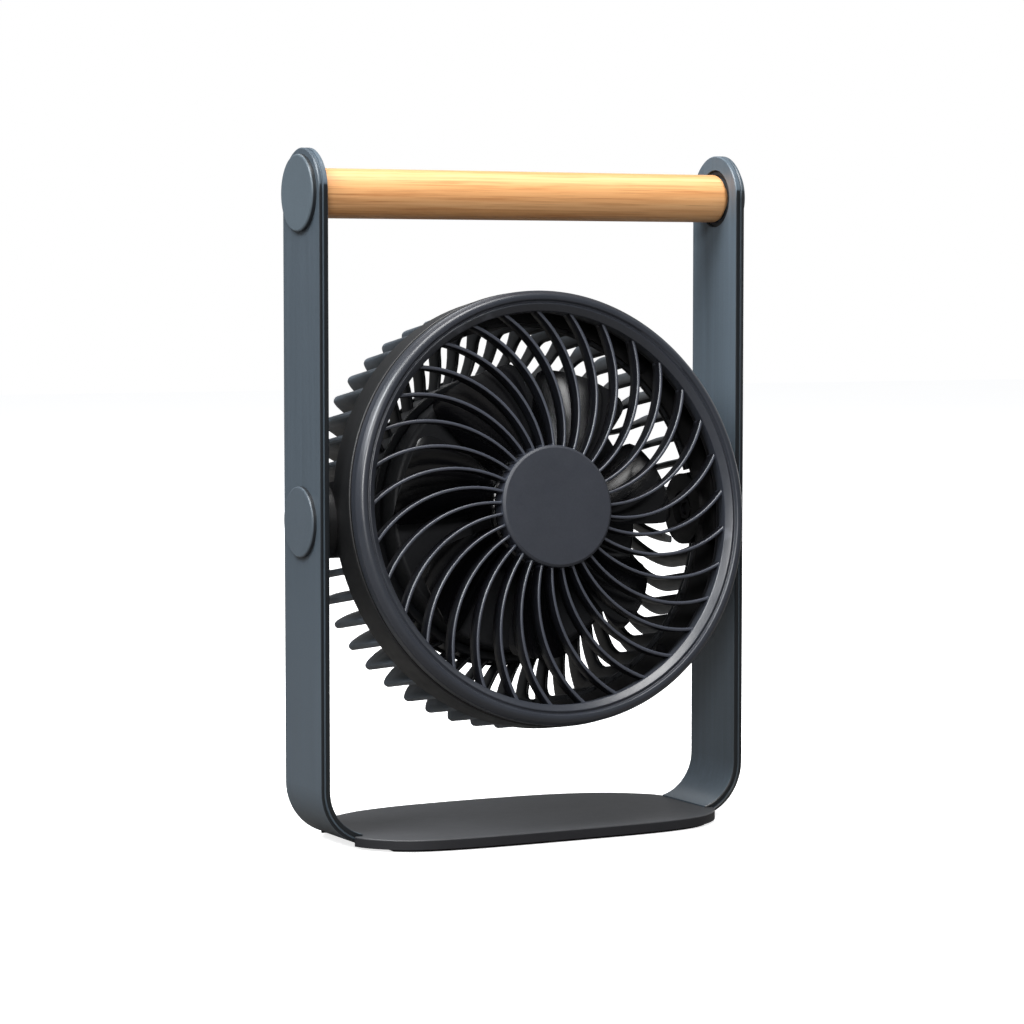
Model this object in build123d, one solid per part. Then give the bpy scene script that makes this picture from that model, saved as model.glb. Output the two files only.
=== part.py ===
from build123d import *
import math
import os

os.makedirs("parts", exist_ok=True)

# Portable cordless fan: a round fan head that tilts between the two uprights
# of a bent strap frame, with a wooden carrying handle across the top.
# Millimetres. +X right, +Y back (the fan blows towards -Y), +Z up.
# Origin: centre of the underside of the base.

# ---- driving dimensions: frame -------------------------------------------
HEIGHT = 308.0          # underside of the pad to the top of the uprights
WIDTH = 215.0           # over the two uprights, without the caps
STRAP_DEPTH = 39.6      # front to back
SKIN_T = 1.6            # outer strap, one bent band
LINER_T = 2.8           # inner strip on each upright
BEND_R = 25.0           # outside radius of the two lower bends
PAD_T = 1.2             # anti-slip pad
PLATE_TOP = PAD_T + SKIN_T + LINER_T
SEAM_X = 87.5           # where base plate and inner strip butt together
EDGE = 0.45             # small bevel on the strap edges
GAP = 0.7               # shadow gap between strap and inner strip, wide and deep
HANDLE_R = 11.0
HANDLE_Z = HEIGHT - STRAP_DEPTH / 2
RECESS_R = 13.3         # hole in the inner strip around the handle end
HANDLE_CAP_R = 17.0
HANDLE_CAP_T = 2.3
PIVOT_CAP_R = 15.75
PIVOT_CAP_T = 2.1

# ---- driving dimensions: head --------------------------------------------
PIVOT_Z = 143.8         # height of the tilt axis
TILT = 9.0              # nose-up angle at rest, degrees
PIVOT_S = 36.0          # tilt axis behind the plane of the ring's widest edge
RING_R = 97.5
BEZEL_IN_R = 88.2
WALL_R = 98.0
WALL_T = 2.0
WALL_S0, WALL_S1 = 6.2, 23.8
RIBS = 33
RIB_W = 1.5
RIB_ARC_R = 58.4
RIB_TURN = 68.0
HUB_R = 27.4
VANES = 50
VANE_T = 2.0
CAGE_R = 96.5
CAGE_S1 = 62.0
CAGE_IN_R = 62.4
POD_R = 62.0
POD_S0, POD_S1 = 38.0, 64.4
COVER_T = 2.4
BLADES = 7
TIP_R = 67.0
SHAFT_R = 2.0
BOSS_R = 16.5
BOLT_R = 3.0

XO = WIDTH / 2                    # outer face of the upright
XS = XO - SKIN_T                  # between strap and inner strip
XI = XO - SKIN_T - LINER_T        # inner face of the upright
BOSS_X = XI - 1.0                 # outer face of the head's pivot boss


# ---- helpers --------------------------------------------------------------
def outline(pts):
    """Closed face from (x, y) or (x, y, corner radius) points."""
    n = len(pts)
    corners = []
    for i in range(n):
        p = Vector(pts[i][0], pts[i][1])
        r = pts[i][2] if len(pts[i]) > 2 else 0
        if r <= 0:
            corners.append((p, None, p))
            continue
        u = (Vector(pts[i - 1][0], pts[i - 1][1]) - p).normalized()
        v = (Vector(pts[(i + 1) % n][0], pts[(i + 1) % n][1]) - p).normalized()
        half = math.radians(u.get_angle(v)) / 2
        t = r / math.tan(half)
        b = (u + v).normalized()
        c = p + b * (r / math.sin(half))
        corners.append((p + u * t, c - b * r, p + v * t))
    edges = []
    for i in range(n):
        a = corners[i - 1][2]
        b = corners[i][0]
        if (a - b).length > 1e-5:
            edges.append(Line(a, b))
        if corners[i][1] is not None:
            edges.append(ThreePointArc(corners[i][0], corners[i][1], corners[i][2]))
    return make_face(edges)


def turned(pts):
    """Head part turned about the fan axis: points are (radius, s, corner)."""
    return revolve(outline([(p[0], p[1] - PIVOT_S, *p[2:]) for p in pts]), axis=Axis.Y)


def turned_x(pts, z=0.0):
    """Part turned about the X direction: points are (x, radius, corner)."""
    return Pos(0, 0, z) * revolve(outline(pts), axis=Axis.X)


def slab(face, s0, s1):
    """A face drawn as seen from the front, made solid from depth s0 to s1."""
    return extrude(Plane.XZ.offset(PIVOT_S - s1) * face, amount=s1 - s0)


def bar(r, s0, s1, x=0.0, z=0.0):
    return slab(Pos(x, z) * Circle(r), s0, s1)


def block(w, h, s0, s1, x=0.0, z=0.0, r=0.0):
    f = RectangleRounded(w, h, r) if r else Rectangle(w, h)
    return slab(Pos(x, z) * f, s0, s1)


def xbar(r, x0, x1, z=0.0, y=0.0):
    return Pos((x0 + x1) / 2, y, z) * Rot(Y=90) * Cylinder(r, x1 - x0)


def spin(a):
    return Rot(Y=-a)


def sector(cx, cy, r, a0, a1, w):
    """Strip of width w along an arc about (cx, cy)."""
    inner = CenterArc((cx, cy), r - w / 2, a0, a1 - a0)
    outer = CenterArc((cx, cy), r + w / 2, a0, a1 - a0)
    return make_face([inner.edge(), outer.edge(), Line(inner @ 0, outer @ 0), Line(inner @ 1, outer @ 1)])


def flip(p):
    return mirror(p, about=Plane.YZ)


HEAD = Pos(0, 0, PIVOT_Z) * Rot(X=-TILT)


def save(name, shape, on_head=False):
    if isinstance(shape, (list, tuple)):
        items = [HEAD * s for s in shape] if on_head else list(shape)
        solids = [q for s in items for q in s.solids()]
        shape = Compound(children=solids)
    else:
        if on_head:
            shape = HEAD * shape
        solids = shape.solids()
        shape = solids[0] if len(solids) == 1 else Compound(children=list(solids))
    shape.label = name
    export_step(shape, f"parts/{name}.step")
    print(name, len(solids), round(shape.volume, 1))


# ---- frame ----------------------------------------------------------------
def u_shape(off, z_off):
    """Inside of the U at an offset from its outer surface."""
    h = XO - off
    r = BEND_R - off
    return outline([(-h, z_off, r), (h, z_off, r), (h, 340), (-h, 340)])


def u_band(off0, off1):
    f = u_shape(off0, PAD_T + off0) - u_shape(off1, PAD_T + off1)
    return extrude(Plane.XZ.offset(-STRAP_DEPTH / 2) * f, amount=STRAP_DEPTH)


side = Pos(0, 0, 0) * (Rectangle(STRAP_DEPTH, 2 * HANDLE_Z) + Pos(0, HANDLE_Z) * Circle(STRAP_DEPTH / 2))
side_prism = extrude(Plane.YZ.offset(-150) * side, amount=300)

skin = u_band(0, SKIN_T) & side_prism
skin -= [xbar(2.6, -XO - 1, -XS + 1, HANDLE_Z), xbar(2.6, XS - 1, XO + 1, HANDLE_Z)]
skin -= [xbar(BOLT_R + 0.1, -XO - 1, -XS + 1, PIVOT_Z), xbar(BOLT_R + 0.1, XS - 1, XO + 1, PIVOT_Z)]


def bevel(part, size):
    """Bevel the long front and back edges of a strap."""
    picks = [
        e for e in part.edges()
        if abs(abs(e.center().Y) - STRAP_DEPTH / 2) < 0.01
        or (e.geom_type == GeomType.CIRCLE and abs(e.radius - STRAP_DEPTH / 2) < 0.01)
    ]
    try:
        return chamfer(picks, size)
    except Exception as err:
        print("bevel left out:", err)
        return part


skin_bev = bevel(skin, EDGE)
save("outer_strap", skin_bev)

liner = u_band(SKIN_T, SKIN_T + LINER_T) & side_prism
right_liner = liner & (Pos(SEAM_X + 50, 0, 160) * Box(100, 60, 330))
right_liner -= xbar(RECESS_R, XI - 2, XS + 2, HANDLE_Z)
right_liner -= xbar(BOLT_R + 0.1, XI - 2, XS + 2, PIVOT_Z)
# A fine shadow gap runs round the joint between the strip and the strap.
core = extrude(Plane.YZ.offset(-150) * (Rectangle(STRAP_DEPTH - 2 * GAP, 2 * HANDLE_Z) + Pos(0, HANDLE_Z) * Circle(STRAP_DEPTH / 2 - GAP)), amount=300)
right_liner = bevel(right_liner, EDGE)
right_liner -= u_band(SKIN_T, SKIN_T + GAP) - core
save("right_inner_strip", right_liner)
save("left_inner_strip", flip(right_liner))

# Base plate: bowed front and back edges, a channel underneath for the strap.
FRONT = [(92.0, -17.0), (89.5, -25.5), (84.5, -32.0), (75.0, -39.2), (62.0, -43.4), (45.0, -45.4), (22.0, -46.1), (0.0, -46.2)]
BACK = [(90.5, 18.0), (86.5, 26.5), (78.5, 35.0), (67.0, 42.6), (52.0, 48.0), (36.0, 50.8), (18.0, 52.0), (0.0, 52.3)]


def plate_face(kx, ky):
    f = [(x * kx, y * ky) for x, y in FRONT]
    b = [(x * kx, y * ky) for x, y in BACK]
    front = f + [(-x, y) for x, y in reversed(f[:-1])]
    back = b + [(-x, y) for x, y in reversed(b[:-1])]
    e1 = Spline(*front)
    e2 = Spline(*back)
    return make_face([e1.edge(), e2.edge(), Line(front[0], back[0]), Line(front[-1], back[-1])])


plate = extrude(Pos(0, 0, PAD_T) * plate_face(1, 1), amount=PLATE_TOP - PAD_T)
top_edges = [e for e in plate.edges() if abs(e.center().Z - PLATE_TOP) < 0.01]
try:
    plate = fillet(top_edges, 0.6)
except Exception as err:
    print("plate rounding left out:", err)
plate -= Pos(SEAM_X + 10, 0, PLATE_TOP) * Box(20, STRAP_DEPTH, 12)
plate -= Pos(-SEAM_X - 10, 0, PLATE_TOP) * Box(20, STRAP_DEPTH, 12)
plate -= skin
plate -= Pos(0, 0, PAD_T) * Box(2 * 82.5, STRAP_DEPTH, 2 * SKIN_T)
save("base_plate", plate)
# The pad stops where the strap starts to bend away from the table.
pad = extrude(plate_face(0.972, 0.955), amount=PAD_T) & Pos(0, 0, PAD_T / 2) * Box(2 * 79.0, 120, 2 * PAD_T)
save("anti_slip_pad", pad)

# Handle: wooden bar, a collar and a threaded insert at each end.
handle = xbar(HANDLE_R, -XS + 0.1, XS - 0.1, HANDLE_Z)
handle = chamfer(handle.edges(), 0.4)
handle -= [xbar(4.2, 91.5, XS + 1, HANDLE_Z), xbar(4.2, -XS - 1, -91.5, HANDLE_Z)]
save("handle_bar", handle)
collar = turned_x([(XI + 1.2, HANDLE_R + 0.08), (XS, HANDLE_R + 0.08), (XS, RECESS_R), (XI + 1.2, RECESS_R, 0.3)], HANDLE_Z)
save("handle_collars", [collar, flip(collar)])
insert = turned_x([(92.0, 2.5), (XS - 0.1, 2.5), (XS - 0.1, 4.2), (92.0, 4.2)], HANDLE_Z)
save("handle_inserts", [insert, flip(insert)])
screw = turned_x([(93.0, 0), (XO + 1.2, 0), (XO + 1.2, 5.2), (XO + 0.5, 6.0), (XO, 6.0), (XO, 2.5), (93.0, 2.5)], HANDLE_Z)
save("handle_screws", [screw, flip(screw)])


def cap(r, t, z):
    return turned_x([(XO + 1.3, 0), (XO + t, 0), (XO + t, r, 0.9), (XO, r), (XO, 7.0), (XO + 1.3, 7.0)], z)


hcap = cap(HANDLE_CAP_R, HANDLE_CAP_T, HANDLE_Z)
save("right_handle_cap", hcap)
save("left_handle_cap", flip(hcap))
pcap = cap(PIVOT_CAP_R, PIVOT_CAP_T, PIVOT_Z)
save("right_pivot_cap", pcap)
save("left_pivot_cap", flip(pcap))

# Pivot hardware that stays with the frame.
bolt = turned_x([(88.5, 0), (XO + 1.2, 0), (XO + 1.2, 5.2), (XO + 0.5, 6.0), (XO, 6.0), (XO, BOLT_R), (88.5, BOLT_R)], PIVOT_Z)
save("pivot_bolts", [bolt, flip(bolt)])
nut_face = RegularPolygon(5.4, 6) - Circle(BOLT_R)
nut = Pos(0, 0, PIVOT_Z) * extrude(Plane.YZ.offset(87.6) * nut_face, amount=2.9)
save("pivot_nuts", [nut, flip(nut)])
spring = turned_x([(90.55, BOLT_R + 0.1), (91.35, BOLT_R + 0.1), (91.35, 6.2), (90.55, 6.2)], PIVOT_Z)
save("spring_washers", [spring, flip(spring)])
fwash = turned_x([(BOSS_X + 0.12, BOLT_R + 0.1), (XI, BOLT_R + 0.1), (XI, 13.0), (BOSS_X + 0.12, 13.0)], PIVOT_Z)
save("friction_washers", [fwash, flip(fwash)])

# ---- head: casing ---------------------------------------------------------
bezel = turned([
    (BEZEL_IN_R, 6.0), (BEZEL_IN_R, 0.9, 0.5), (91.4, -1.9), (91.9, -1.1, 0.3), (92.6, -1.1, 0.3),
    (93.1, -2.4, 0.5), (RING_R, -2.6, 2.4), (RING_R, 5.4, 0.5), (WALL_R - WALL_T - 0.05, 5.4),
    (WALL_R - WALL_T - 0.05, 11.0), (94.0, 11.0), (94.0, 6.0),
])
save("bezel_ring", bezel, True)

wall_in = WALL_R - WALL_T
drum = turned([
    (wall_in, WALL_S0), (WALL_R, WALL_S0, 0.6), (WALL_R, WALL_S1, 0.6), (86.2, WALL_S1), (86.2, WALL_S1 - 1.8), (wall_in, WALL_S1 - 1.8),
])
keep = turned([(0, 11.5), (WALL_R - 0.2, 11.5), (WALL_R - 0.2, 60), (0, 60)])


def lug(sign):
    web = Pos(sign * 94, 24 - PIVOT_S, 0) * Box(12, 24, 2 * BOSS_R)
    body = (web & keep) + xbar(BOSS_R, *sorted((sign * 86.0, sign * BOSS_X)))
    body -= xbar(8.2, *sorted((sign * 85.0, sign * 91.8)))
    body -= xbar(5.5, *sorted((sign * 91.0, sign * (BOSS_X + 1))))
    return body


drum = drum + [lug(1), lug(-1)]
drum -= [xbar(5.5, 91.0, BOSS_X + 1), xbar(5.5, -BOSS_X - 1, -91.0)]
drum -= [xbar(8.2, 80, 91.8), xbar(8.2, -91.8, -80)]
SCREW_A = (45, 135, 225, 315)
CAGE_A = (46.6, 133.0, 226.6, 313.0)              # cage screws, each midway between two vanes
POD_A = tuple(20.6 + 72 * k for k in range(5))    # midway between cage vanes
at = lambda r, a: (r * math.cos(math.radians(a)), r * math.sin(math.radians(a)))
drum -= [bar(1.35, 20, 25, *at(89.2, a)) for a in CAGE_A]
save("drum_shell", drum, True)

bush = turned_x([(91.8, BOLT_R + 0.05), (BOSS_X, BOLT_R + 0.05), (BOSS_X, 5.5), (91.8, 5.5)])
save("pivot_bushes", [bush, flip(bush)], True)

# Front grille: curved ribs between a hub cup and an outer ring.
rib_env = turned([
    (25.6, -0.8), (BEZEL_IN_R - 0.2, 2.0), (BEZEL_IN_R - 0.2, 6.08), (91.0, 6.08), (91.0, 9.4), (25.6, 6.6),
])
c = (26.0, RIB_ARC_R)
rib = slab(sector(*c, RIB_ARC_R, -93.0, -88.0 + RIB_TURN, RIB_W), -4, 12) & rib_env
grille = turned([(24.8, 6.6), (24.8, 0.4), (3.1, 0.4), (3.1, -1.4), (HUB_R - 0.6, -1.4), (HUB_R - 0.6, 6.6)])
grille_ring = turned([(89.0, 6.08), (93.8, 6.08), (93.8, 9.4), (89.0, 9.4)])
grille = grille + ([spin(i * 360 / RIBS) * rib for i in range(RIBS)] + [grille_ring])
save("front_grille", grille, True)
hub = turned([(0, -3.0), (HUB_R, -3.0, 0.7), (HUB_R, -1.45), (3.0, -1.45), (3.0, 2.2), (0, 2.2)])
save("hub_disc", hub, True)

# Rear cage: deep curved vanes that run across the back and down the side.
vane_env = turned([
    (CAGE_R, 24.0, 0.6), (CAGE_R, CAGE_S1, 4.5), (64.9, CAGE_S1), (64.9, 52.0), (79.0, 52.0, 3.0), (84.6, 45.0, 3.0), (84.6, 24.0),
])
vc = (62.0 + 55 * math.cos(math.radians(40)), 55 * math.sin(math.radians(40)))
vane = slab(sector(*vc, 55.0, -141.5, -98.0, VANE_T), 20, 66) & vane_env
cage_front = turned([(84.6, 24.0), (92.0, 24.0), (92.0, 26.8), (84.6, 26.8)])
cage_front -= [bar(1.25, 22, 27.5, *at(89.2, a)) for a in CAGE_A]
cage_hub = turned([(CAGE_IN_R, 50.0), (66.4, 50.0), (66.4, CAGE_S1 + 0.4), (CAGE_IN_R, CAGE_S1 + 0.4)])
cage_hub -= [bar(1.0, CAGE_S1 - 4.2, CAGE_S1 + 1, *at(64.3, a)) for a in POD_A]
cage = cage_front + ([spin(i * 360 / VANES + 3.6) * vane for i in range(VANES)] + [cage_hub])
room = BOSS_R + 0.7
for sg in (1, -1):
    cage -= xbar(room, *sorted((sg * 83.0, sg * 110.0)))
    cage -= Pos(sg * 96.5, 18 - PIVOT_S + 9, 0) * Box(27, 18, 2 * room)
cage_solids = sorted(cage.solids(), key=lambda q: -q.volume)
print("cage solids", [round(q.volume) for q in cage_solids])
save("rear_cage", cage_solids[0], True)
cage_screw = lambda a: bar(1.25, 22.0, 27.4, *at(89.2, a)) + bar(2.3, 20.3, 22.0, *at(89.2, a))
save("cage_screws", [cage_screw(a) for a in CAGE_A], True)

# Pod: motor carrier in front, cells and board inside, cover at the back.
pod = turned([
    (7.6, POD_S0), (POD_R, POD_S0, 2.0), (POD_R, CAGE_S1 + 0.5), (67.5, CAGE_S1 + 0.5, 0.5), (67.5, POD_S1, 0.5),
    (60.0, POD_S1), (60.0, POD_S0 + 2.2, 0.5), (7.6, POD_S0 + 2.2),
])
pod = pod + [bar(3.2, POD_S0 + 1.5, POD_S1, *at(54.5, a)) for a in SCREW_A]
pod -= [bar(1.0, POD_S1 - 9, POD_S1 + 1, *at(54.5, a)) for a in SCREW_A]
pod -= [bar(1.15, POD_S0 - 1, POD_S0 + 3, *at(17.0, a)) for a in (30, 150, 270)]
pod -= [bar(2.2, POD_S0 + 1.0, POD_S0 + 3, *at(17.0, a)) for a in (30, 150, 270)]
pod -= [bar(1.05, CAGE_S1, POD_S1 + 1, *at(64.3, a)) for a in POD_A]
save("pod_housing", pod, True)
pod_screw = lambda a: bar(0.95, CAGE_S1 - 4, POD_S1, *at(64.3, a)) + bar(1.9, POD_S1, POD_S1 + 1.2, *at(64.3, a))

cover = turned([(0, POD_S1), (61.5, POD_S1), (61.5, POD_S1 + 1.6, 0.8), (57.0, POD_S1 + COVER_T, 2.0), (0, POD_S1 + COVER_T)])
BTN_Z, LENS_Z, SOCK_Z = 15.0, 29.0, -15.0
cover -= bar(7.3, POD_S1 - 1, POD_S1 + 5, 0, BTN_Z)
cover -= block(18.0, 3.0, POD_S1 - 1, POD_S1 + 5, 0, LENS_Z, 1.45)
cover -= block(9.6, 3.9, POD_S1 - 1, POD_S1 + 5, 0, SOCK_Z, 1.9)
cover -= [bar(1.3, POD_S1 - 1, POD_S1 + 5, *at(54.5, a)) for a in SCREW_A]
cover -= [bar(2.5, POD_S1 + 1.3, POD_S1 + 5, *at(54.5, a)) for a in SCREW_A]
save("rear_cover", cover, True)
cover_screw = lambda a: bar(1.0, POD_S1 - 8, POD_S1 + 1.3, *at(54.5, a)) + bar(2.3, POD_S1 + 1.3, POD_S1 + 2.5, *at(54.5, a))
save("cover_screws", [cover_screw(a) for a in SCREW_A], True)
save("indicator_lens", block(17.8, 2.8, POD_S1 - 0.8, POD_S1 + COVER_T + 0.2, 0, LENS_Z, 1.35), True)

# Pod screws hold the housing's rear flange to the cage's inner ring.
cage_hub_holes = [pod_screw(a) for a in POD_A]
save("pod_screws", cage_hub_holes, True)

cells = []
for z in (-36.0, -16.0, 16.0, 36.0):
    cell = Pos(0, 50.0 - PIVOT_S, z) * Rot(Y=90) * Cylinder(9.2, 65)
    cells.append(cell)
save("battery_cells", cells, True)
PCB_S = 59.8
board = block(66, 50, PCB_S, PCB_S + 1.6, 0, 0, 2)
save("control_board", board, True)
save("button_switch", block(6, 6, PCB_S + 1.6, PCB_S + 2.3, 0, BTN_Z, 0.6), True)
sock = block(9.0, 3.3, PCB_S + 1.6, POD_S1 + COVER_T - 0.2, 0, SOCK_Z, 1.6)
sock -= block(8.3, 2.6, POD_S1 - 2.2, POD_S1 + 6, 0, SOCK_Z, 1.25)
sock += block(6.6, 0.7, POD_S1 - 3, POD_S1 + COVER_T - 1.2, 0, SOCK_Z)
save("charging_socket", sock, True)

# ---- motor ----------------------------------------------------------------
carrier = turned([(5.15, 14.6), (7.3, 14.6), (7.3, 36.0), (22.0, 36.0), (22.0, POD_S0), (7.5, POD_S0), (7.5, POD_S0 + 2.0), (5.15, POD_S0 + 2.0)])
carrier -= [bar(1.2, 35, POD_S0 + 3, *at(17.0, a)) for a in (30, 150, 270)]
save("motor_carrier", carrier, True)
motor_screw = lambda a: bar(1.1, POD_S0 - 2, POD_S0 + 1.0, *at(17.0, a)) + bar(2.0, POD_S0 + 1.0, POD_S0 + 2.3, *at(17.0, a))
save("motor_screws", [motor_screw(a) for a in (30, 150, 270)], True)
bearing = lambda s: turned([(SHAFT_R + 0.04, s), (5.15, s), (5.15, s + 4), (SHAFT_R + 0.04, s + 4)])
save("front_bearing", bearing(16.0), True)
save("rear_bearing", bearing(33.5), True)

core = turned([(7.3, 17.5), (10.2, 17.5), (10.2, 29.5), (7.3, 29.5)])
tooth = block(12, 3.0, 17.5, 29.5, 14.0, 0) & turned([(9.0, 17.0), (20.9, 17.0), (20.9, 30), (9.0, 30)])
shoe = slab(sector(0, 0, 20.2, -15, 15, 1.4), 17.5, 29.5)
teeth = [spin(i * 40) * tooth for i in range(9)] + [spin(i * 40) * shoe for i in range(9)]
core = core + teeth
save("stator_core", core, True)
coil = block(7.4, 6.0, 16.0, 31.0, 15.0, 0, 1.2) - block(9, 3.02, 17.48, 29.52, 15.0, 0)
save("stator_coils", [spin(i * 40) * coil for i in range(9)], True)

# ---- rotor ----------------------------------------------------------------
save("magnet_ring", turned([(21.5, 16.8), (23.8, 16.8), (23.8, 30.2), (21.5, 30.2)]), True)
save("rotor_cup", turned([(SHAFT_R, 13.0), (24.8, 13.0, 1.0), (24.8, 31.4), (23.8, 31.4), (23.8, 14.0), (SHAFT_R, 14.0)]), True)
save("motor_shaft", turned([(0, 7.8), (SHAFT_R, 7.8), (SHAFT_R, 38.6), (1.5, 38.6), (1.5, 39.2), (SHAFT_R, 39.2), (SHAFT_R, 39.9), (0, 39.9)]), True)
save("shaft_clip", turned([(1.5, 38.6), (3.4, 38.6), (3.4, 39.2), (1.5, 39.2)]), True)
nut_r = RegularPolygon(4.0, 6) - Circle(SHAFT_R)
save("blade_nut", slab(nut_r, 8.0, 10.5), True)

hubcup = turned([(SHAFT_R, 10.5), (HUB_R - 0.6, 10.5, 3.0), (HUB_R - 0.4, 32.0), (24.8, 32.0), (24.8, 13.0), (SHAFT_R, 13.0)])


def section(r, chord, pitch, lift, shift, t):
    """Thin cambered blade section on a plane square to the radius."""
    b = math.radians(pitch)
    ch = Vector(0, math.sin(b), math.cos(b))
    pl = Plane(origin=(r, 21.5 - PIVOT_S, shift), x_dir=ch, z_dir=(1, 0, 0))
    h = chord / 2
    lo = ThreePointArc((-h, -t / 2), (0, lift - t / 2), (h, -t / 2))
    hi = ThreePointArc((-h, t / 2), (0, lift + t / 2), (h, t / 2))
    return pl * make_face([lo.edge(), hi.edge(), Line(lo @ 0, hi @ 0), Line(lo @ 1, hi @ 1)])


blade = loft([
    section(25.4, 21.0, 42, 2.0, 0.0, 2.4),
    section(46.0, 36.0, 31, 3.0, 1.2, 1.9),
    section(TIP_R, 46.0, 23, 3.0, 3.5, 1.4),
])
blade = blade & turned([(25.2, 9.0), (TIP_R, 9.0), (TIP_R, 34.0), (25.2, 34.0)])
fan = hubcup + [spin(i * 360 / BLADES + 8) * blade for i in range(BLADES)]
fan -= turned([(0, 13.0), (24.8, 13.0), (24.8, 34.0), (0, 34.0)])
save("fan_blades", fan, True)

# ---- button ---------------------------------------------------------------
btn = turned([(0, 63.0), (8.2, 63.0), (8.2, 64.0), (7.0, 64.0), (7.0, 67.8, 0.8), (0, 67.8)])
save("power_button", Pos(0, 0, BTN_Z) * btn, True)
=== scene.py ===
import math

import bmesh
import bpy
from mathutils import Matrix, Vector


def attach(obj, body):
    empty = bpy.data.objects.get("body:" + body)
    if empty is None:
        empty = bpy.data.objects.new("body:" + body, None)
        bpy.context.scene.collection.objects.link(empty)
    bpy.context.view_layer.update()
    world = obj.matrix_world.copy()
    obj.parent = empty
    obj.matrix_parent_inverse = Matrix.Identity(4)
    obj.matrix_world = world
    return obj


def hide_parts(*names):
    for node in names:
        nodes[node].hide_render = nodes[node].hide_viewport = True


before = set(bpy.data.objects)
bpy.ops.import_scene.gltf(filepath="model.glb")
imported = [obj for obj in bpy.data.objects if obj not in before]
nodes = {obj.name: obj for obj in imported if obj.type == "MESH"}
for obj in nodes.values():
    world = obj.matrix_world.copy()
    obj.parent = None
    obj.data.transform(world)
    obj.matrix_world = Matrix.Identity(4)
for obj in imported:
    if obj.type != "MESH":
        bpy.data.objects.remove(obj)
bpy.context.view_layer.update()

MM = 0.001

# ---------------------------------------------------------------- sizes (mm)
PIVOT_Z, PIVOT_S, TILT = 143.8, 36.0, 9.0
HANDLE_Z = 288.2
RIBS, VANES, BLADES = 33, 50, 7
HEAD = Matrix.Translation((0, 0, PIVOT_Z)) @ Matrix.Rotation(math.radians(-TILT), 4, "X")


# ---------------------------------------------------------------- materials
def new_mat(name):
    m = bpy.data.materials.new(name)
    m.use_nodes = True
    nt = m.node_tree
    nt.nodes.clear()
    out = nt.nodes.new("ShaderNodeOutputMaterial")
    b = nt.nodes.new("ShaderNodeBsdfPrincipled")
    nt.links.new(b.outputs[0], out.inputs[0])
    tc = nt.nodes.new("ShaderNodeTexCoord")
    return m, nt, b, tc


def noise(nt, vec, scale, detail=3.0, rough=0.5, dist=0.0):
    n = nt.nodes.new("ShaderNodeTexNoise")
    n.inputs["Scale"].default_value = scale
    n.inputs["Detail"].default_value = detail
    n.inputs["Roughness"].default_value = rough
    n.inputs["Distortion"].default_value = dist
    nt.links.new(vec, n.inputs["Vector"])
    return n.outputs["Fac"]


def ramp(nt, fac, stops):
    r = nt.nodes.new("ShaderNodeValToRGB")
    els = r.color_ramp.elements
    while len(els) < len(stops):
        els.new(0.5)
    for e, (p, c) in zip(els, stops):
        e.position = p
        e.color = (*c, 1) if len(c) == 3 else c
    nt.links.new(fac, r.inputs[0])
    return r.outputs[0]


def grey(v):
    return (v, v, v)


def mapping(nt, vec, scale=(1, 1, 1), loc=(0, 0, 0), rot=(0, 0, 0)):
    m = nt.nodes.new("ShaderNodeMapping")
    m.inputs["Scale"].default_value = scale
    m.inputs["Location"].default_value = loc
    m.inputs["Rotation"].default_value = rot
    nt.links.new(vec, m.inputs["Vector"])
    return m.outputs[0]


def bump(nt, b, height, strength, dist):
    bp = nt.nodes.new("ShaderNodeBump")
    bp.inputs["Strength"].default_value = strength
    bp.inputs["Distance"].default_value = dist
    nt.links.new(height, bp.inputs["Height"])
    nt.links.new(bp.outputs[0], b.inputs["Normal"])


def mix(nt, a, c, fac, mode="MIX"):
    m = nt.nodes.new("ShaderNodeMix")
    m.data_type = "RGBA"
    m.blend_type = mode
    if isinstance(fac, float):
        m.inputs[0].default_value = fac
    else:
        nt.links.new(fac, m.inputs[0])
    for sock, v in ((m.inputs[6], a), (m.inputs[7], c)):
        if isinstance(v, tuple):
            sock.default_value = (*v, 1)
        else:
            nt.links.new(v, sock)
    return m.outputs[2]


def moulded(name, col, rough=0.4, grain=900.0, strength=0.12, dist=0.00005, spread=0.12, metallic=0.0, coat=0.0, spec=0.5, mottle=60.0, convex_edge_lightening=0.0):
    """Painted or moulded surface: fine grain, slow colour drift, uneven gloss, optionally paler on sharp convex edges.
    """
    m, nt, b, tc = new_mat(name)
    v = tc.outputs["Object"]
    slow = noise(nt, v, mottle, 3)
    fine = noise(nt, v, grain, 2, 0.6)
    lo = tuple(c * (1 - spread) for c in col)
    hi = tuple(c * (1 + spread) for c in col)
    base = ramp(nt, slow, [(0.3, lo), (0.7, hi)])
    speck = ramp(nt, fine, [(0.35, grey(0.86)), (0.65, grey(1.0))])
    base = mix(nt, base, speck, 0.7, "MULTIPLY")
    if convex_edge_lightening > 0:
        # paler colour on sharp convex edges, picked out by pointiness
        geo = nt.nodes.new("ShaderNodeNewGeometry")
        edge = ramp(nt, geo.outputs["Pointiness"], [(0.52, grey(0.0)), (0.60, grey(convex_edge_lightening))])
        base = mix(nt, base, tuple(min(1.0, c * 2.2 + 0.03) for c in col), edge)
    nt.links.new(base, b.inputs["Base Color"])
    rr = ramp(nt, noise(nt, v, mottle * 2.6, 4, 0.6), [(0.3, grey(max(0.05, rough - 0.05))), (0.7, grey(rough + 0.06))])
    nt.links.new(rr, b.inputs["Roughness"])
    b.inputs["Metallic"].default_value = metallic
    b.inputs["Specular IOR Level"].default_value = spec
    b.inputs["Coat Weight"].default_value = coat
    b.inputs["Coat Roughness"].default_value = 0.25
    bump(nt, b, fine, strength, dist)
    return m


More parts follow.
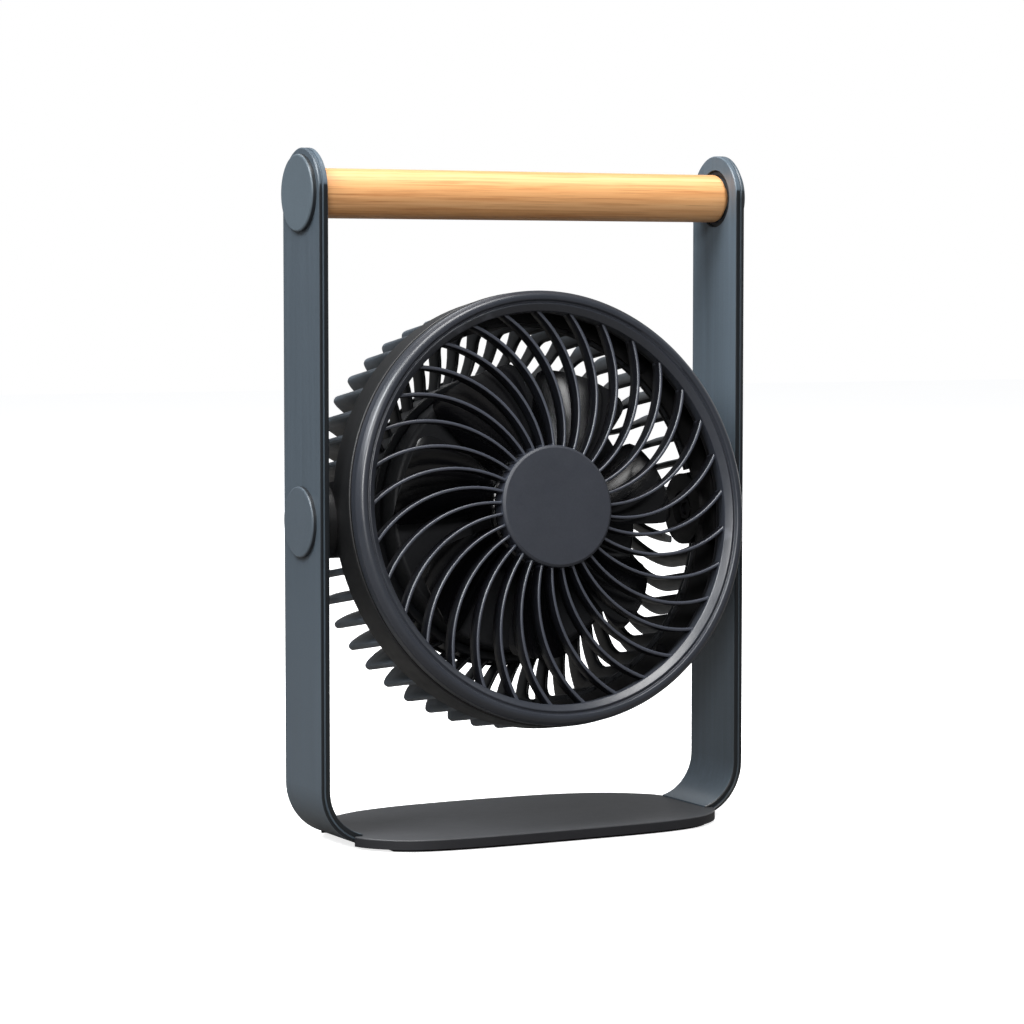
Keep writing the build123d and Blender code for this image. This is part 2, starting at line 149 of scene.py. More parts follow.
def strap_paint(name, col, painted_shade_edge_col):
    """Powder coat on the bent strip: fine upright draw marks; the front and back edge faces are painted near-black as
    painted shade.
    """
    m, nt, b, tc = new_mat(name)
    v = tc.outputs["Object"]
    streak = noise(nt, mapping(nt, v, (260, 260, 5)), 2.0, 4, 0.55)
    slow = noise(nt, v, 14, 2)
    fine = noise(nt, v, 1500, 2, 0.6)
    lo, hi = tuple(c * 0.90 for c in col), tuple(c * 1.08 for c in col)
    base = ramp(nt, streak, [(0.32, lo), (0.68, hi)])
    base = mix(nt, base, ramp(nt, slow, [(0.3, grey(0.93)), (0.7, grey(1.0))]), 1.0, "MULTIPLY")
    base = mix(nt, base, ramp(nt, fine, [(0.35, grey(0.90)), (0.65, grey(1.0))]), 0.7, "MULTIPLY")
    # painted shade: edge faces beyond about 19.4 mm in |y| take the near-black edge colour
    sep = nt.nodes.new("ShaderNodeSeparateXYZ")
    nt.links.new(v, sep.inputs[0])
    ab = nt.nodes.new("ShaderNodeMath")
    ab.operation = "ABSOLUTE"
    nt.links.new(sep.outputs[1], ab.inputs[0])
    sc = nt.nodes.new("ShaderNodeMath")
    sc.operation = "MULTIPLY"
    sc.inputs[1].default_value = 40.0
    nt.links.new(ab.outputs[0], sc.inputs[0])
    painted_shade_edge_mask = ramp(nt, sc.outputs[0], [(0.7755, grey(0.0)), (0.7800, grey(1.0))])
    base = mix(nt, base, painted_shade_edge_col, painted_shade_edge_mask)
    nt.links.new(base, b.inputs["Base Color"])
    rr = ramp(nt, streak, [(0.3, grey(0.34)), (0.7, grey(0.42))])
    nt.links.new(rr, b.inputs["Roughness"])
    b.inputs["Specular IOR Level"].default_value = 0.5
    b.inputs["Coat Weight"].default_value = 0.08
    b.inputs["Coat Roughness"].default_value = 0.3
    bump(nt, b, fine, 0.08, 0.00003)
    return m


def mask_axis(nt, v, axis, at, width, both=False):
    """0 below and 1 above the given coordinate (mm) along an axis, with a soft step."""
    sep = nt.nodes.new("ShaderNodeSeparateXYZ")
    nt.links.new(v, sep.inputs[0])
    src = sep.outputs[axis]
    if both:
        ab = nt.nodes.new("ShaderNodeMath")
        ab.operation = "ABSOLUTE"
        nt.links.new(src, ab.inputs[0])
        src = ab.outputs[0]
    mr = nt.nodes.new("ShaderNodeMapRange")
    mr.inputs["From Min"].default_value = (at - width / 2) * MM
    mr.inputs["From Max"].default_value = (at + width / 2) * MM
    nt.links.new(src, mr.inputs["Value"])
    return mr.outputs["Result"]


def face_with_painted_shade_sides(name, face_col, painted_shade_side_col, axis, at, both, rough=0.42, spec=0.5, grain=1400, mottle=30, width=0.5, vary=0.045):
    """Coated piece whose main face keeps the paint colour while its rounded sides are painted much darker, as painted
    shade.
    """
    m, nt, b, tc = new_mat(name)
    v = tc.outputs["Object"]
    # painted shade: faces past the mask take the face colour, the rest take the dark side colour
    base = mix(nt, painted_shade_side_col, face_col, mask_axis(nt, v, axis, at, width, both))
    slow = noise(nt, v, mottle, 3)
    fine = noise(nt, v, grain, 2, 0.6)
    base = mix(nt, base, ramp(nt, slow, [(0.3, grey(0.90)), (0.7, grey(1.0))]), 1.0, "MULTIPLY")
    base = mix(nt, base, ramp(nt, fine, [(0.35, grey(0.88)), (0.65, grey(1.0))]), 0.7, "MULTIPLY")
    nt.links.new(base, b.inputs["Base Color"])
    rr = ramp(nt, noise(nt, v, mottle * 3, 4, 0.6), [(0.3, grey(rough - vary)), (0.7, grey(rough + vary))])
    nt.links.new(rr, b.inputs["Roughness"])
    b.inputs["Specular IOR Level"].default_value = spec
    bump(nt, b, fine, 0.10, 0.00003)
    return m


def radial_painted_shade(name, painted_shade_inner_col, painted_light_outer_col, r0, r1, rough, spec=0.5, coat=0.0, grain=1200.0):
    """Moulded plastic near-black towards the fan axis and paler at the rim: painted shade inside the head, painted
    light on the outer vane ends.
    """
    m, nt, b, tc = new_mat(name)
    v = tc.outputs["Object"]
    local = mapping(nt, v, (1, 1, 1), (0, 0, -PIVOT_Z * MM))
    sep = nt.nodes.new("ShaderNodeSeparateXYZ")
    rot = mapping(nt, local, (1, 1, 1), (0, 0, 0), (math.radians(TILT), 0, 0))
    nt.links.new(rot, sep.inputs[0])
    comb = nt.nodes.new("ShaderNodeCombineXYZ")
    nt.links.new(sep.outputs[0], comb.inputs[0])
    nt.links.new(sep.outputs[2], comb.inputs[2])
    ln = nt.nodes.new("ShaderNodeVectorMath")
    ln.operation = "LENGTH"
    nt.links.new(comb.outputs[0], ln.inputs[0])
    sc = nt.nodes.new("ShaderNodeMath")
    sc.operation = "MULTIPLY"
    sc.inputs[1].default_value = 10.0
    nt.links.new(ln.outputs["Value"], sc.inputs[0])
    # painted shade and light: near-black inside radius r0, pale outer colour beyond r1
    base = ramp(nt, sc.outputs[0], [(r0 / 100.0, painted_shade_inner_col), (r1 / 100.0, painted_light_outer_col)])
    slow = noise(nt, v, 50, 3)
    fine = noise(nt, v, grain, 2, 0.6)
    base = mix(nt, base, ramp(nt, slow, [(0.3, grey(0.88)), (0.7, grey(1.0))]), 1.0, "MULTIPLY")
    base = mix(nt, base, ramp(nt, fine, [(0.35, grey(0.88)), (0.65, grey(1.0))]), 0.7, "MULTIPLY")
    nt.links.new(base, b.inputs["Base Color"])
    rr = ramp(nt, noise(nt, v, 120, 4, 0.6), [(0.3, grey(rough - 0.04)), (0.7, grey(rough + 0.06))])
    nt.links.new(rr, b.inputs["Roughness"])
    b.inputs["Specular IOR Level"].default_value = spec
    b.inputs["Coat Weight"].default_value = coat
    b.inputs["Coat Roughness"].default_value = 0.2
    bump(nt, b, fine, 0.08, 0.00003)
    return m


def wood():
    m, nt, b, tc = new_mat("light_wood")
    v = tc.outputs["Object"]
    long_v = mapping(nt, v, (5, 260, 260), (0.0, 0.031, 0.017))
    fibre = noise(nt, long_v, 3.4, 6, 0.62, 0.25)
    band_v = mapping(nt, v, (1.2, 70, 70), (0.4, 0.0, 0.0))
    band = noise(nt, band_v, 2.4, 3, 0.5, 0.5)
    base = ramp(nt, band, [(0.28, (0.66, 0.320, 0.120)), (0.5, (0.80, 0.420, 0.178)), (0.74, (0.89, 0.52, 0.245))])
    lines = ramp(nt, fibre, [(0.34, (0.66, 0.48, 0.34)), (0.50, (0.96, 0.92, 0.87)), (0.60, (1.0, 1.0, 1.0))])
    base = mix(nt, base, lines, 0.75, "MULTIPLY")
    pore_v = mapping(nt, v, (14, 900, 900))
    pore = ramp(nt, noise(nt, pore_v, 2.0, 2, 0.5), [(0.30, (0.46, 0.30, 0.19)), (0.38, (1.0, 1.0, 1.0))])
    base = mix(nt, base, pore, 0.40, "MULTIPLY")
    nt.links.new(base, b.inputs["Base Color"])
    rr = ramp(nt, fibre, [(0.3, grey(0.50)), (0.7, grey(0.38))])
    nt.links.new(rr, b.inputs["Roughness"])
    b.inputs["Coat Weight"].default_value = 0.15
    b.inputs["Coat Roughness"].default_value = 0.3
    bump(nt, b, fibre, 0.25, 0.00012)
    return m


def metal(name, col, rough=0.28, aniso_scale=(400, 400, 400), spread=0.1):
    m, nt, b, tc = new_mat(name)
    v = mapping(nt, tc.outputs["Object"], aniso_scale)
    n = noise(nt, v, 2.0, 3, 0.6)
    base = ramp(nt, n, [(0.3, tuple(c * (1 - spread) for c in col)), (0.7, col)])
    nt.links.new(base, b.inputs["Base Color"])
    rr = ramp(nt, n, [(0.3, grey(rough)), (0.7, grey(rough + 0.14))])
    nt.links.new(rr, b.inputs["Roughness"])
    b.inputs["Metallic"].default_value = 1.0
    bump(nt, b, n, 0.08, 0.00004)
    return m


M = {
    # the last colour of each strap paint is painted shade on the strip edge faces
    "frame": strap_paint("frame_powder_coat", (0.066, 0.086, 0.106), (0.006, 0.008, 0.010)),
    # painted light: the inner strips take a lighter copy of the strap paint, standing in for the light on their inner
    # faces
    "inner": strap_paint("strip_powder_coat_painted_light", (0.098, 0.128, 0.157), (0.006, 0.008, 0.010)),
    # caps and plate: the second colour is painted shade on the rounded sides and edges
    "cap": face_with_painted_shade_sides("cap_satin", (0.092, 0.118, 0.140), (0.016, 0.019, 0.022), 0, 109.1, True, 0.40, width=0.5),
    "pivot_cap": face_with_painted_shade_sides("pivot_cap_satin", (0.075, 0.095, 0.115), (0.016, 0.019, 0.022), 0, 108.95, True, 0.42, width=0.5),
    "plate": face_with_painted_shade_sides("plate_matt_coat", (0.050, 0.051, 0.055), (0.013, 0.013, 0.016), 2, 5.15, False, 0.46, 0.5, 1700, 60, 0.5, 0.012),
    "pad": moulded("pad_rubber", (0.012, 0.012, 0.013), 0.8, 700, 0.3, 0.0001, 0.2, spec=0.3),
    "bezel": moulded("bezel_satin", (0.023, 0.026, 0.034), 0.34, 1300, 0.08, 0.00003, 0.06, coat=0.15, spec=0.6, mottle=35, convex_edge_lightening=0.4),
    "hub": moulded("hub_satin", (0.027, 0.030, 0.039), 0.50, 1100, 0.12, 0.00003, 0.05, spec=0.45, mottle=50),
    "grille": moulded("grille_satin", (0.045, 0.050, 0.066), 0.34, 1300, 0.06, 0.00003, 0.08, coat=0.2, spec=0.6, mottle=50),
    # near-black copy of the grille colour for the rib flanks: painted shade
    "rib_painted_shade": moulded("grille_side_painted_shade", (0.006, 0.0065, 0.009), 0.36, 1300, 0.06, 0.00003, 0.08, spec=0.35, mottle=50),
    "drum": moulded("drum_satin", (0.006, 0.006, 0.0065), 0.42, 1200, 0.10, 0.00003, 0.1, coat=0.0, spec=0.5, mottle=35),
    # rear cage: near-black inside 87.5 mm as painted shade, paler outer vane ends as painted light
    "cage": radial_painted_shade("cage_satin", (0.005, 0.006, 0.008), (0.115, 0.138, 0.165), 87.5, 95.5, 0.40, 0.5),
    "blade": moulded("blade_gloss", (0.0035, 0.0035, 0.0045), 0.20, 500, 0.03, 0.00003, 0.2, coat=0.2, spec=0.4, mottle=40),
    "dark": moulded("pod_plastic", (0.022, 0.023, 0.026), 0.50, 1000, 0.25, 0.00007, 0.12, spec=0.4, mottle=30),
    "button": moulded("button_satin", (0.055, 0.060, 0.070), 0.38, 1300, 0.08, 0.00003, 0.06, spec=0.55, convex_edge_lightening=0.4),
    "wrap": moulded("cell_wrap", (0.02, 0.10, 0.30), 0.25, 500, 0.05, 0.00003, 0.1, coat=0.4),
    "board": moulded("board_mask", (0.01, 0.09, 0.035), 0.35, 700, 0.15, 0.00005, 0.25, coat=0.2),
    "iron": metal("iron_lamination", (0.20, 0.20, 0.21), 0.4, (300, 1500, 300)),
    "steel": metal("steel_turned", (0.55, 0.55, 0.57), 0.26),
    "oxide": metal("steel_black_oxide", (0.045, 0.045, 0.05), 0.38),
    "brass": metal("brass_turned", (0.72, 0.52, 0.22), 0.28),
    "copper": metal("copper_wire", (0.62, 0.27, 0.13), 0.3, (900, 900, 900)),
    "wood": wood(),
}


def lens_mat():
    m, nt, b, tc = new_mat("lens_diffuse")
    f = noise(nt, tc.outputs["Object"], 900, 2)
    nt.links.new(ramp(nt, f, [(0.3, (0.62, 0.66, 0.70)), (0.7, (0.80, 0.84, 0.88))]), b.inputs["Base Color"])
    b.inputs["Roughness"].default_value = 0.22
    b.inputs["Transmission Weight"].default_value = 0.25
    bump(nt, b, f, 0.1, 0.00003)
    return m


M["lens"] = lens_mat()

FINISH = {
    "frame": ["outer_strap"],
    "inner": ["right_inner_strip", "left_inner_strip"],
    "cap": ["right_handle_cap", "left_handle_cap"],
    "pivot_cap": ["right_pivot_cap", "left_pivot_cap"],
    "plate": ["base_plate"],
    "pad": ["anti_slip_pad"],
    "wood": ["handle_bar"],
    "dark": ["handle_collars", "friction_washers", "pod_housing", "rear_cover", "motor_carrier"],
    "bezel": ["bezel_ring"],
    "hub": ["hub_disc"],
    "grille": ["front_grille"],
    "drum": ["drum_shell"],
    "cage": ["rear_cage"],
    "blade": ["fan_blades"],
    "button": ["power_button"],
    "oxide": ["pivot_bolts", "pivot_nuts", "spring_washers", "cage_screws", "pod_screws", "cover_screws"],
    "steel": ["handle_screws", "motor_screws", "button_switch", "charging_socket", "front_bearing", "rear_bearing", "rotor_cup", "motor_shaft", "shaft_clip", "blade_nut"],
    "brass": ["handle_inserts", "pivot_bushes"],
    "lens": ["indicator_lens"],
    "wrap": ["battery_cells"],
    "board": ["control_board"],
    "iron": ["stator_core", "magnet_ring"],
    "copper": ["stator_coils"],
}
for key, names in FINISH.items():
    for n in names:
        o = nodes[n]
        o.data.materials.clear()
        o.data.materials.append(M[key])


# ---------------------------------------------------------------- mesh tools
def make(name, verts, faces, body, mat, slot=None, replaces=(), sharp=35, on_head=True, merge=True):
    me = bpy.data.meshes.new(name)
    me.from_pydata([tuple(v) for v in verts], [], faces)
    bm = bmesh.new()
    bm.from_mesh(me)
    if merge:
        bmesh.ops.remove_doubles(bm, verts=bm.verts, dist=2e-5)
    mtx = (Matrix.Scale(MM, 4) if not on_head else Matrix.Scale(MM, 4) @ HEAD)
    bmesh.ops.transform(bm, matrix=mtx, verts=bm.verts)
    bmesh.ops.recalc_face_normals(bm, faces=bm.faces)
    bm.to_mesh(me)
    bm.free()
    for p in me.polygons:
        p.use_smooth = True
    me.set_sharp_from_angle(angle=math.radians(sharp))
    ob = bpy.data.objects.new(name, me)
    bpy.context.collection.objects.link(ob)
    me.materials.append(M[mat])
    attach(ob, body)
    if replaces:
        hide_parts(*replaces)
    return ob


def rounded(pts, n=6):
    """Closed (x, y[, radius]) outline with its corners rounded, as a point list."""
    out = []
    k = len(pts)
    for i in range(k):
        p = Vector(pts[i][:2])
        r = pts[i][2] if len(pts[i]) > 2 else 0
        if r <= 0:
            out.append((p.x, p.y))
            continue
        u = (Vector(pts[i - 1][:2]) - p).normalized()
        v = (Vector(pts[(i + 1) % k][:2]) - p).normalized()
        half = u.angle(v) / 2
        t = r / math.tan(half)
        c = p + (u + v).normalized() * (r / math.sin(half))
        a, b = p + u * t - c, p + v * t - c
        tot = a.angle_signed(b)
        for j in range(n + 1):
            q = Matrix.Rotation(-tot * j / n, 2) @ a
            out.append((c.x + q.x, c.y + q.y))
    return out


def lathe(profile, seg=200, a0=0.0, a1=360.0, axis="head", z=0.0):
    """Turns a closed (radius, depth) outline about the fan axis, or about the X direction at height z."""
    full = abs(a1 - a0 - 360) < 1e-6
    n = len(profile)
    verts, faces = [], []
    steps = seg if full else seg + 1
    for i in range(steps):
        a = math.radians(a0 + (a1 - a0) * i / seg)
        c, s = math.cos(a), math.sin(a)
        for r, d in profile:
            if axis == "head":
                verts.append((r * c, d - PIVOT_S, r * s))
            else:
                verts.append((d, r * c, z + r * s))
    rings = seg if full else seg
    for i in range(rings):
        i2 = (i + 1) % steps
        for j in range(n):
            j2 = (j + 1) % n
            if profile[j][0] < 1e-6 and profile[j2][0] < 1e-6:
                continue
            faces.append((i * n + j, i * n + j2, i2 * n + j2, i2 * n + j))
    if not full:
        faces.append(tuple(range(n)))
        faces.append(tuple(reversed(range((steps - 1) * n, steps * n))))
    return verts, faces


def joined(*parts):
    verts, faces = [], []
    for v, f in parts:
        k = len(verts)
        verts += list(v)
        faces += [tuple(i + k for i in q) for q in f]
    return verts, faces


def tube(rings, closed_ends=True):
    """Skin over a list of equal-length point rings."""
    n = len(rings[0])
    verts = [p for r in rings for p in r]
    faces = []
    for i in range(len(rings) - 1):
        for j in range(n):
            j2 = (j + 1) % n
            faces.append((i * n + j, i * n + j2, (i + 1) * n + j2, (i + 1) * n + j))
    if closed_ends:
        faces.append(tuple(reversed(range(n))))
        faces.append(tuple(range((len(rings) - 1) * n, len(rings) * n)))
    return verts, faces


def turn(part, deg):
    """Turns a part about the fan axis, counter-clockwise seen from the front."""
    a = math.radians(deg)
    c, s = math.cos(a), math.sin(a)
    return [(x * c - z * s, y, x * s + z * c) for x, y, z in part[0]], part[1]


# ---------------------------------------------------------------- front grille
RIB_R, RIB_TURN = 58.4, 68.0


def rib():
    cx, cy = 26.0, RIB_R
    rings = []
    n = 34
    for i in range(n + 1):
        t = i / n
        a = math.radians(-92.0 + (RIB_TURN + 4.2) * t)
        px, pz = cx + RIB_R * math.cos(a), cy + RIB_R * math.sin(a)
        nx, nz = math.cos(a), math.sin(a)
        r = math.hypot(px, pz)
        k = min(1.0, max(0.0, (r - 26) / 62))
        w = 1.35 + 0.35 * k                       # width of the front edge
        wb = w * 0.72                             # narrower at the back, for mould draft
        front = -0.8 + 2.8 * k - 0.5 * math.sin(math.pi * k)
        back = 6.4 + 2.6 * k
        sec = []
        for q in range(7):                        # rounded front edge
            b = math.pi * q / 6
            sec.append((-math.cos(b) * w / 2, front + w * 0.42 * (1 - math.sin(b))))
        sec += [(w / 2 * 0.93, front + (back - front) * 0.5), (wb / 2, back - 0.25), (wb / 2 - 0.25, back), (-wb / 2 + 0.25, back), (-wb / 2, back - 0.25), (-w / 2 * 0.93, front + (back - front) * 0.5)]
        rings.append([(px + nx * o, d - PIVOT_S, pz + nz * o) for o, d in sec])
    return tube(rings)


def rib_painted_shade(ob, n=13, front=6):
    """The flanks and back of each rib take a near-black copy of the grille colour as painted shade, the rounded front
    edge keeps the satin one.
    """
    me = ob.data
    me.materials.append(M["rib_painted_shade"])
    inv = HEAD.inverted()
    for p in me.polygons:
        c = inv @ (Vector(p.center) / MM)
        nn = (inv.to_3x3() @ Vector(p.normal)).normalized()
        r = math.hypot(c.x, c.z)
        # painted shade: faces that do not face the front get the near-black flank material
        if 28.0 < r < 88.4 and nn.y > -0.42:
            p.material_index = 1


one = rib()
grille_hub = lathe(rounded([(24.8, 6.6), (24.8, 0.4), (3.1, 0.4), (3.1, -1.4), (26.8, -1.4, 0.3), (26.8, 6.6, 0.5)], 3), 160)
grille_ring = lathe(rounded([(88.4, 6.08), (93.8, 6.08), (93.8, 9.4), (88.4, 9.4, 0.8)], 3), 240)
ribs_ob = make("grille_ribs", *joined(grille_hub, grille_ring, *[turn(one, i * 360 / RIBS) for i in range(RIBS)]),
     "head", "grille", "grille_plastic", ["front_grille"], sharp=50)

rib_painted_shade(ribs_ob)

# ---------------------------------------------------------------- bezel, hub
bezel = rounded([
    (88.2, 6.0), (88.2, 0.9, 0.9), (91.3, -1.7, 0.5), (91.9, -1.0, 0.35), (92.5, -1.0, 0.35),
    (93.1, -2.35, 0.6), (95.6, -2.6, 2.5), (97.5, 0.6, 2.2), (97.5, 5.4, 0.45), (95.95, 5.4),
    (95.95, 11.0), (94.0, 11.0), (94.0, 6.0),
], 7)
make("bezel_ring_fine", *lathe(bezel, 288), "head", "bezel", "head_plastic", ["bezel_ring"], sharp=32)
hub = rounded([(0.0, -3.05), (18.0, -3.0), (26.2, -2.95, 0.3), (27.4, -2.2, 0.8), (27.4, -1.45), (3.0, -1.45), (3.0, 2.2), (0.0, 2.2)], 6)
make("hub_disc_fine", *lathe(hub, 160), "head", "hub", "head_plastic", ["hub_disc"], sharp=32)

# ---------------------------------------------------------------- rear cage
VC = (62.0 + 55 * math.cos(math.radians(40)), 55 * math.sin(math.radians(40)))


def on_arc(r):
    """Point and normal of the vane's plan curve at radius r."""
    d = math.hypot(*VC)
    ang = math.atan2(VC[1], VC[0])
    k = (d * d + r * r - 55.0 ** 2) / (2 * d * r)
    phi = ang - math.acos(max(-1, min(1, k)))
    x, z = r * math.cos(phi), r * math.sin(phi)
    nx, nz = (x - VC[0]) / 55.0, (z - VC[1]) / 55.0
    return x, z, nx, nz


def band_points():
    """Stations along the vane: (outer r, outer s, inner r, inner s), front end to hub."""
    st = []
    for s in (24.0, 28.0, 33.0, 38.0, 43.0, 47.0, 50.0, 53.5, 57.0):
        st.append((96.5, s, 84.6, 24 + (s - 24) * 0.69))
    for j in range(1, 8):                          # rounded rear-outer corner
        b = math.radians(90 * j / 7)
        oi = math.radians(90 * j / 7)
        st.append((92.0 + 4.5 * math.cos(b), 57.5 + 4.5 * math.sin(b), 79.6 + 5.0 * math.cos(oi), 47.0 + 5.0 * math.sin(oi)))
    for r in (89.0, 85.5, 81.5, 77.5, 73.5, 69.5, 66.6, 64.9):
        st.append((r, 62.0, min(r - 1.2 if r > 79 else r, 78.6), 52.0))
    return st


def vane(skip=None):
    rings = []
    T = 2.0
    for ro, so, ri, si in band_points():
        sec = []
        T = 2.0 + 1.3 * min(1.0, max(0.0, (ro - 64.9) / 24.0))   # the vanes thicken outwards
        ks = (0.0, 0.02, 0.07, 0.3, 0.6, 0.9, 0.97, 1.0)
        ts = (0.25, 0.72, 0.98, 1.0, 1.0, 0.95, 0.7, 0.25)
        for k, t in zip(ks, ts):
            r, s = ro + (ri - ro) * k, so + (si - so) * k
            sec.append((r, s, t * (T - (T - 2.0) * k) / 2))
        ring = []
        for r, s, h in sec:
            x, z, nx, nz = on_arc(r)
            ring.append((x + nx * h, s - PIVOT_S, z + nz * h))
        for r, s, h in reversed(sec):
            x, z, nx, nz = on_arc(r)
            ring.append((x - nx * h, s - PIVOT_S, z - nz * h))
        rings.append(ring)
    return rings


def vane_at(deg):
    rings = vane()
    a = math.radians(deg)
    c, s = math.cos(a), math.sin(a)
    rings = [[(x * c - z * s, y, x * s + z * c) for x, y, z in r] for r in rings]

    def blocked(r):
        for x, y, z in r:
            if abs(x) > 82.5 and abs(z) < 17.6:
                if y < 0.0 or y * y + z * z < 17.6 ** 2:
                    return True
        return False

    runs, cur = [], []
    for r in rings:
        if blocked(r):
            if len(cur) > 1:
                runs.append(cur)
            cur = []
        else:
            cur.append(r)
    if len(cur) > 1:
        runs.append(cur)
    return [tube(r) for r in runs]


gap = 11.6
front_prof = rounded([(84.6, 24.0, 0.3), (92.0, 24.0, 0.3), (92.0, 26.8, 0.5), (84.6, 26.8, 0.5)], 3)
rear_prof = rounded([(62.4, 50.0, 0.5), (66.4, 50.0, 1.0), (66.4, 62.4, 1.0), (62.4, 62.4, 0.4)], 4)
pieces = [lathe(front_prof, 110, gap, 180 - gap), lathe(front_prof, 110, 180 + gap, 360 - gap), lathe(rear_prof, 200)]
for i in range(VANES):
    pieces += vane_at(i * 360 / VANES + 3.6)
make("cage_vanes", *joined(*pieces), "head", "cage", "cage_plastic", ["rear_cage"], sharp=40)

# ---------------------------------------------------------------- fan blades
hubcup = rounded([(2.0, 10.5), (26.8, 10.5, 3.2), (27.0, 32.0, 0.4), (24.8, 32.0), (24.8, 13.0), (2.0, 13.0)], 7)


def blade(tip=67.0):
    rings = []
    n = 22
    for i in range(n + 1):
        k = i / n
        r = 25.6 + (tip - 25.6) * k
        chord = 21.0 + 36.0 * k - 12.0 * k * k
        pitch = math.radians(42 - 26 * k + 7 * k * k)
        shift = 1.0 * k + 2.5 * k * k
        lift = 2.0 + 1.2 * math.sin(0.5 * math.pi * k)
        th = 2.3 - 1.0 * k
        if k > 0.86:                               # rounded tip corners
            q = (k - 0.86) / 0.14
            chord *= 1 - 0.16 * (1 - math.sqrt(max(0.0, 1 - q * q)))
            th *= 1 - 0.45 * q * q
        sec = []
        m = 12
        for side in (1, -1):
            for j in range(m + 1):
                u = -1 + 2 * j / m if side == 1 else 1 - 2 * j / m
                if side == -1 and j in (0, m):
                    continue
                prof = math.sqrt(max(0.0, 1 - abs(u) ** 2.6))
                sec.append((u * chord / 2, lift * (1 - u * u) + side * th / 2 * prof))
        ring = []
        for cpos, t in sec:
            y = cpos * math.sin(pitch) - t * math.cos(pitch)
            w = cpos * math.cos(pitch) + t * math.sin(pitch) + shift
            a = w / r                               # wraps the section round the axis
            ring.append((r * math.cos(a), 21.5 - PIVOT_S + y, r * math.sin(a)))
        rings.append(ring)
    return tube(rings)


one = blade()
make("fan_blades_fine", *joined(lathe(hubcup, 160), *[turn(one, i * 360 / BLADES + 8) for i in range(BLADES)]),
     "rotor", "blade", "blade_plastic", ["fan_blades"], sharp=40)

# ---------------------------------------------------------------- handle
def x_lathe(profile, seg=96, z=0.0):
    return lathe(profile, seg, axis="x", z=z)


bar = [(8.0, -105.8), (8.0, -105.2)]
half = [(8.0, 104.2), (8.6, 104.15)]
for j in range(8):
    b = math.radians(90 * j / 7)
    half.append((8.6 + 2.4 * math.sin(b), 101.75 + 2.4 * math.cos(b)))
prof = [(0.0, -105.8), (7.6, -105.8, 0.3), (7.6, -104.2), (8.4, -104.2), (11.0, -104.2, 2.4)]
for x in range(-90, 91, 15):
    prof.append((11.0, float(x)))
prof += [(11.0, 104.2, 2.4), (8.4, 104.2), (7.6, 104.2), (7.6, 105.8, 0.3), (0.0, 105.8)]
make("handle_dowel", *x_lathe(rounded(prof, 6), 128, HANDLE_Z), "frame", "wood", "handle_wood", ["handle_bar"], sharp=50, on_head=False)

# ---------------------------------------------------------------- stage
def floor():
    me = bpy.data.meshes.new("studio_floor")
    s = 6.0
    me.from_pydata([(-s, -s, 0), (s, -s, 0), (s, s, 0), (-s, s, 0)], [], [(0, 1, 2, 3)])
    ob = bpy.data.objects.new("studio_floor", me)
    bpy.context.collection.objects.link(ob)
    m, nt, b, tc = new_mat("floor_paint")
    n = noise(nt, tc.outputs["Object"], 3.0, 2)
    lp = nt.nodes.new("ShaderNodeLightPath")
    pale = ramp(nt, n, [(0.3, grey(0.86)), (0.7, grey(0.88))])
    nt.links.new(mix(nt, (0.13, 0.125, 0.12), pale, lp.outputs["Is Camera Ray"]), b.inputs["Base Color"])
    b.inputs["Roughness"].default_value = 0.9
    b.inputs["Specular IOR Level"].default_value = 0.1
    b.inputs["Emission Color"].default_value = (1, 1, 1, 1)
    em = nt.nodes.new("ShaderNodeMath")
    em.operation = "MULTIPLY"
    em.inputs[1].default_value = 0.80
    nt.links.new(lp.outputs["Is Camera Ray"], em.inputs[0])
    nt.links.new(em.outputs[0], b.inputs["Emission Strength"])
    me.materials.append(m)
    ob.location.z = -0.0002


floor()


def area(name, loc, target, size, power, col=(1, 1, 1), size_y=None, spread=180):
    li = bpy.data.lights.new(name, "AREA")
    li.shape = "RECTANGLE" if size_y else "SQUARE"
    li.size = size
    if size_y:
        li.size_y = size_y
    li.energy = power
    li.color = col
    li.spread = math.radians(spread)
    ob = bpy.data.objects.new(name, li)
    bpy.context.collection.objects.link(ob)
    ob.location = loc
    d = Vector(target) - Vector(loc)
    ob.rotation_euler = d.to_track_quat("-Z", "Y").to_euler()
    ob.visible_camera = False
    return ob


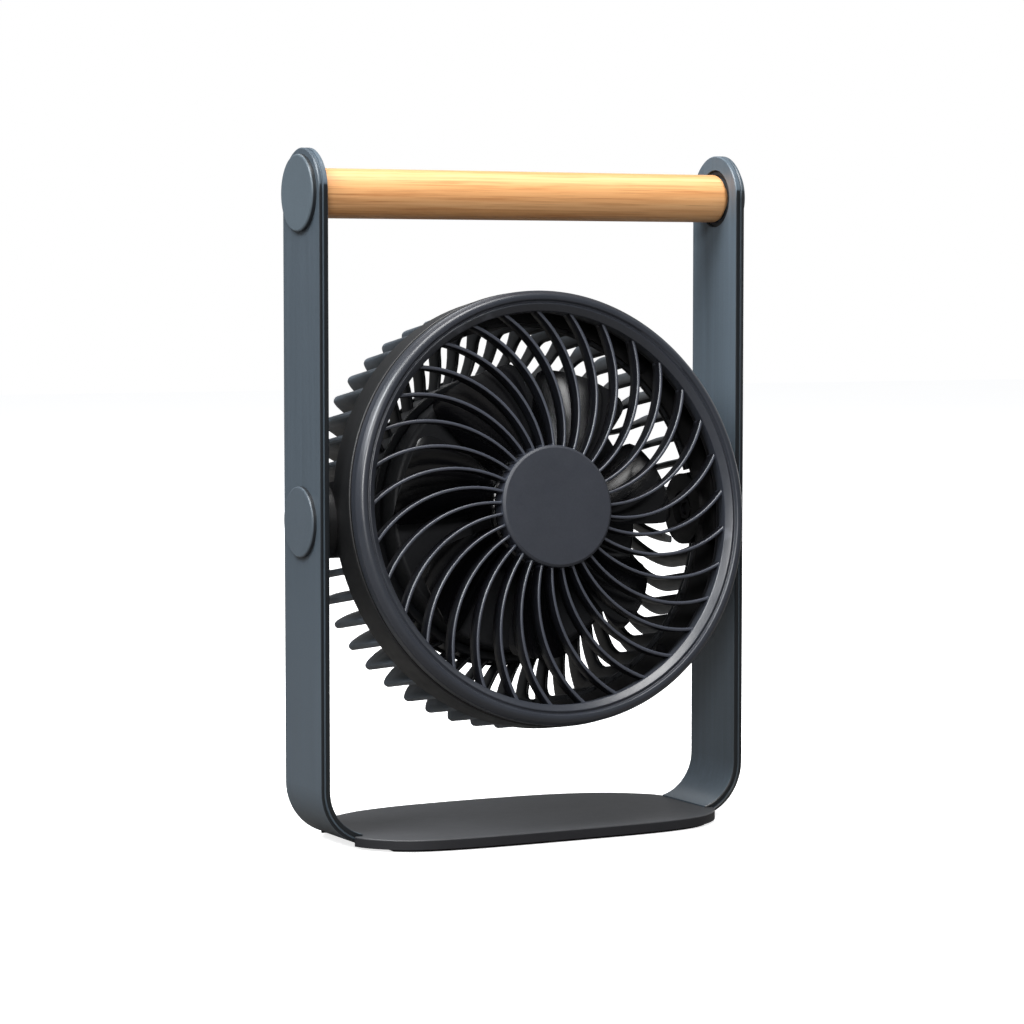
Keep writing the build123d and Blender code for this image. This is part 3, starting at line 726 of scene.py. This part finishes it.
area("left_softbox", (-1.10, -0.25, 1.30), (0, 0, 0.18), 0.8, 32, (0.95, 0.98, 1.0), 0.8)
area("right_softbox", (1.9, 0.2, 1.1), (0, 0, 0.15), 1.0, 5, (0.97, 0.985, 1.0), 1.2)
area("top_softbox", (-0.1, -0.5, 2.1), (0, 0, 0.2), 1.2, 38, (1.0, 0.995, 0.985), 0.9)
area("front_fill", (-1.2, -2.1, 1.3), (0, 0, 0.15), 0.8, 38, (1, 1, 1), 0.8)
area("rear_fill", (0.2, 1.9, 2.3), (0, 0, 0.15), 1.0, 14, (0.97, 0.985, 1.0), 1.0)
area("back_glow", (1.15, 0.95, 0.14), (0.08, 0, 0.0), 0.8, 1.3, (1, 1, 1), 0.25)

w = bpy.data.worlds.new("studio")
bpy.context.scene.world = w
w.use_nodes = True
nt = w.node_tree
nt.nodes.clear()
wo = nt.nodes.new("ShaderNodeOutputWorld")
bg1 = nt.nodes.new("ShaderNodeBackground")
bg2 = nt.nodes.new("ShaderNodeBackground")
lp = nt.nodes.new("ShaderNodeLightPath")
mx = nt.nodes.new("ShaderNodeMixShader")
bg1.inputs[0].default_value = (0.93, 0.96, 1.0, 1)
bg1.inputs[1].default_value = 0.20
bg2.inputs[0].default_value = (1, 1, 1, 1)
bg2.inputs[1].default_value = 1.0
nt.links.new(lp.outputs["Is Camera Ray"], mx.inputs[0])
nt.links.new(bg1.outputs[0], mx.inputs[1])
nt.links.new(bg2.outputs[0], mx.inputs[2])
nt.links.new(mx.outputs[0], wo.inputs[0])

sc = bpy.context.scene
sc.view_settings.view_transform = "Standard"
sc.view_settings.look = "None"
sc.view_settings.exposure = 0.0

# ---------------------------------------------------------------- camera
th, el = math.radians(27.405), math.radians(3.874)
fwd = Vector((math.sin(th) * math.cos(el), math.cos(th) * math.cos(el), -math.sin(el)))
cam_data = bpy.data.cameras.new("camera")
cam_data.sensor_width = 36.0
cam_data.lens = 3312.6 / 1024 * 36.0
cam = bpy.data.objects.new("camera", cam_data)
bpy.context.collection.objects.link(cam)
cam.location = (-0.695594, -1.335238, 0.246814)
cam.rotation_mode = "QUATERNION"
cam.rotation_quaternion = fwd.to_track_quat("-Z", "Y")
cam_data.clip_start = 0.05
cam_data.clip_end = 50
sc.camera = cam
